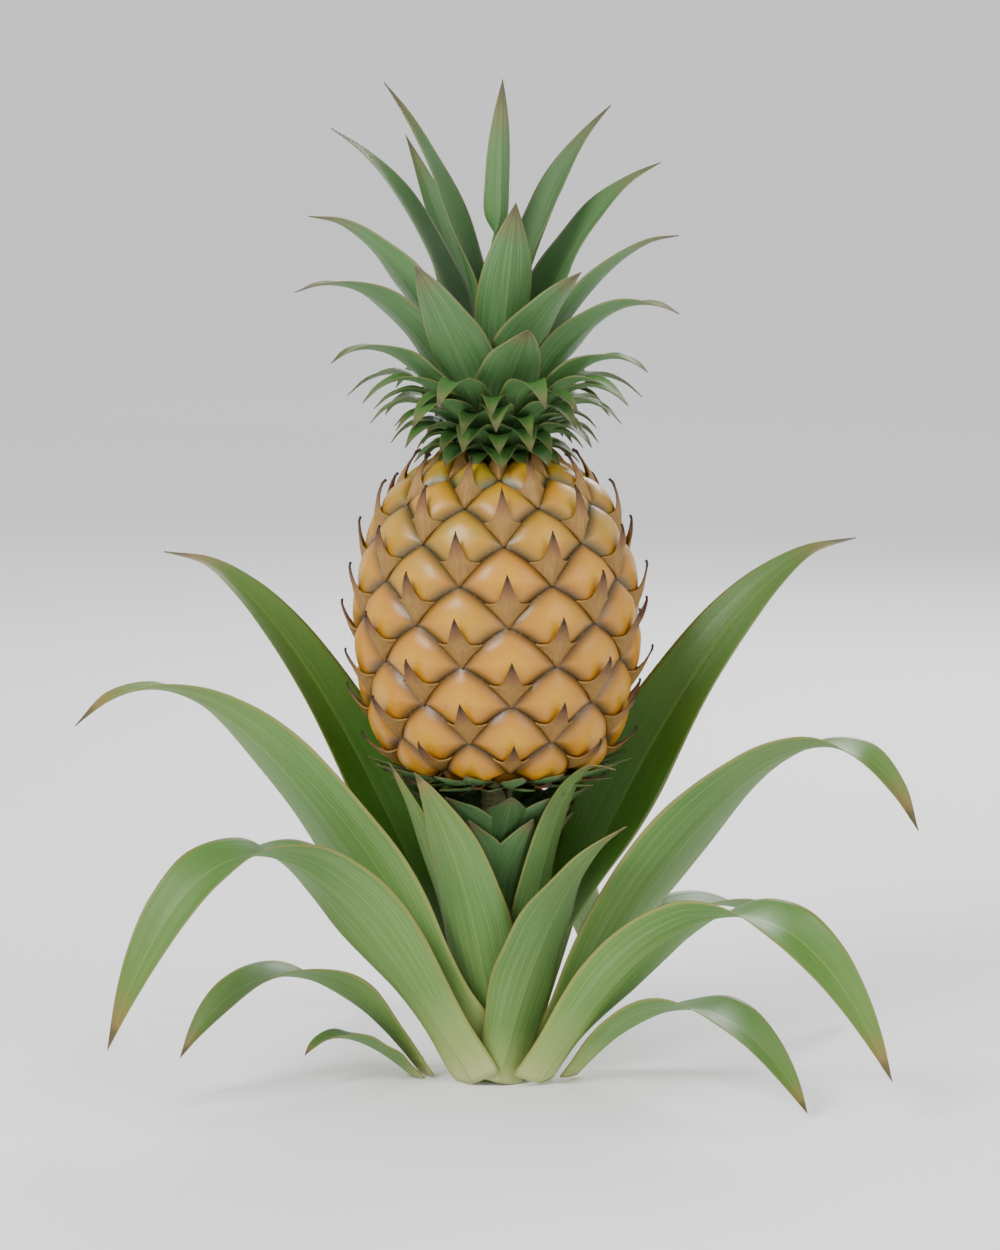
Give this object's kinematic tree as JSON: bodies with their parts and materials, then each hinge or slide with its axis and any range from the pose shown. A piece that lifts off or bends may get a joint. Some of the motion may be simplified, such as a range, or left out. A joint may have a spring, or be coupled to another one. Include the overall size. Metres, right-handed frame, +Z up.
{
  "type": "pineapple plant",
  "caption": "Pineapple plant in fruit: a rosette of arching strap leaves round a short stem, one upright fruit with diamond eyes and a leafy crown on top.",
  "frame": {"origin": "centre of the flat cut under the stem, at ground level", "axes": "+Z up along the stem and the fruit, -Y the front that shows the small leaf under the fruit on its right, +X to that view's right"},
  "size_m": [0.5422, 0.4142, 0.659],
  "materials": {
    "leaf": "satin",
    "crown": "satin",
    "fruit": "satin",
    "stem": "matte"
  },
  "bodies": {
    "root": {"leaf_left_lowest": "leaf", "leaf_right_low_front_lower": "leaf", "leaf_right_low_front_upper": "leaf", "leaf_left_low_lower": "leaf", "leaf_left_low_upper": "leaf", "leaf_right_arch_lower": "leaf", "leaf_right_arch_upper": "leaf", "leaf_back_low_right_lower": "leaf", "leaf_back_low_right_upper": "leaf", "leaf_left_arch_lower": "leaf", "leaf_left_arch_upper": "leaf", "leaf_back_low_left_lower": "leaf", "leaf_back_low_left_upper": "leaf", "leaf_front_middle": "leaf", "leaf_right_arch_rear_lower": "leaf", "leaf_right_arch_rear_upper": "leaf", "leaf_left_arch_rear_lower": "leaf", "leaf_left_arch_rear_upper": "leaf", "leaf_right_mid_lower": "leaf", "leaf_right_mid_upper": "leaf", "leaf_left_mid_lower": "leaf", "leaf_left_mid_upper": "leaf", "leaf_back_mid_right": "leaf", "leaf_back_mid_left": "leaf", "leaf_front_left": "leaf", "leaf_front_right": "leaf", "leaf_front_left_narrow": "leaf", "leaf_right_high_rear": "leaf", "leaf_left_high_rear": "leaf", "leaf_right_high": "leaf", "leaf_left_high": "leaf", "leaf_back_high": "leaf", "crown_left_1": "crown", "crown_right_1": "crown", "crown_back_1": "crown", "crown_front_1": "crown", "crown_left_2": "crown", "crown_right_2": "crown", "crown_back_2": "crown", "crown_front_left": "crown", "crown_left_3": "crown", "crown_right_3": "crown", "crown_back_3": "crown", "crown_front_right": "crown", "crown_left_4": "crown", "crown_right_4": "crown", "crown_left_rear": "crown", "crown_front_2": "crown", "crown_left_5": "crown", "crown_right_5": "crown", "crown_centre": "crown", "crown_collar": "crown", "crown_skirt_1": "crown", "crown_skirt_2": "crown", "crown_skirt_3": "crown", "fruit": "fruit", "stem": "stem", "crown_stem": "stem"}
  },
  "joints": []
}
